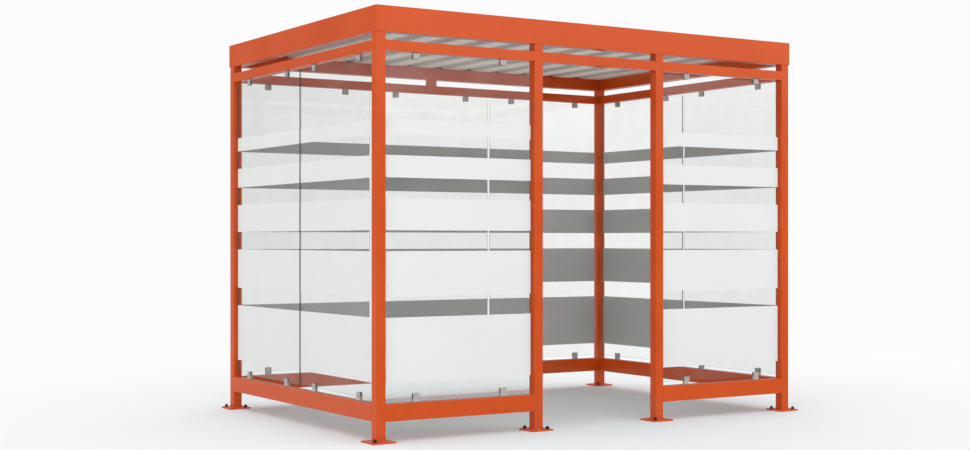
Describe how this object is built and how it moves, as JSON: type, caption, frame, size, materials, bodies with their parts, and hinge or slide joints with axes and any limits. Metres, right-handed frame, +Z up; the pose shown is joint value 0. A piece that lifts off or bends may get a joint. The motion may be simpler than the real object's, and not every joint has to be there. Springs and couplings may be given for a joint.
{
  "type": "smoking shelter",
  "caption": "Open steel-framed outdoor shelter with a flat ribbed-sheet roof, clear glass walls with opaque bands, and a doorless front entrance.",
  "frame": {"origin": "on the ground under the middle of the shelter's footprint, level with the undersides of the base plates", "axes": "+X along the front to the right as seen from the entrance side, +Y from the front to the back wall, +Z up"},
  "size_m": [3.255, 2.24, 2.5],
  "materials": {
    "frame_paint": "satin orange powder coat",
    "sheet_paint": "satin light grey coil coat",
    "clear_glass": "clear toughened glass",
    "film": "matte white opaque film",
    "clamp_metal": "satin stainless steel"
  },
  "bodies": {
    "root": {"post_front_left": "frame_paint", "post_front_mid_left": "frame_paint", "post_front_mid_right": "frame_paint", "post_front_right": "frame_paint", "post_back_right": "frame_paint", "post_back_left": "frame_paint", "base_plates": "frame_paint", "low_rail_front_left": "frame_paint", "top_rail_front_left": "frame_paint", "low_rail_front_right": "frame_paint", "top_rail_front_right": "frame_paint", "low_rail_right": "frame_paint", "top_rail_right": "frame_paint", "low_rail_back": "frame_paint", "top_rail_back": "frame_paint", "low_rail_left": "frame_paint", "top_rail_left": "frame_paint", "top_rail_entrance": "frame_paint", "back_beam_spacer": "frame_paint", "roof_beam_front": "frame_paint", "roof_beam_right": "frame_paint", "roof_beam_back": "frame_paint", "roof_beam_left": "frame_paint", "sheet_angle_front": "frame_paint", "sheet_angle_back": "frame_paint", "roof_sheet": "sheet_paint", "glass_front_left": "clear_glass", "glass_front_right": "clear_glass", "glass_right_front": "clear_glass", "glass_right_back": "clear_glass", "glass_back_right": "clear_glass", "glass_back_middle": "clear_glass", "glass_back_left": "clear_glass", "glass_left_back": "clear_glass", "glass_left_front": "clear_glass", "film_bands_front_left": "film", "film_bands_front_right": "film", "film_bands_right": "film", "film_bands_back": "film", "film_bands_left": "film", "glass_clamps_front_left": "clamp_metal", "glass_clamps_front_right": "clamp_metal", "glass_clamps_right": "clamp_metal", "glass_clamps_back": "clamp_metal", "glass_clamps_left": "clamp_metal"}
  },
  "joints": []
}
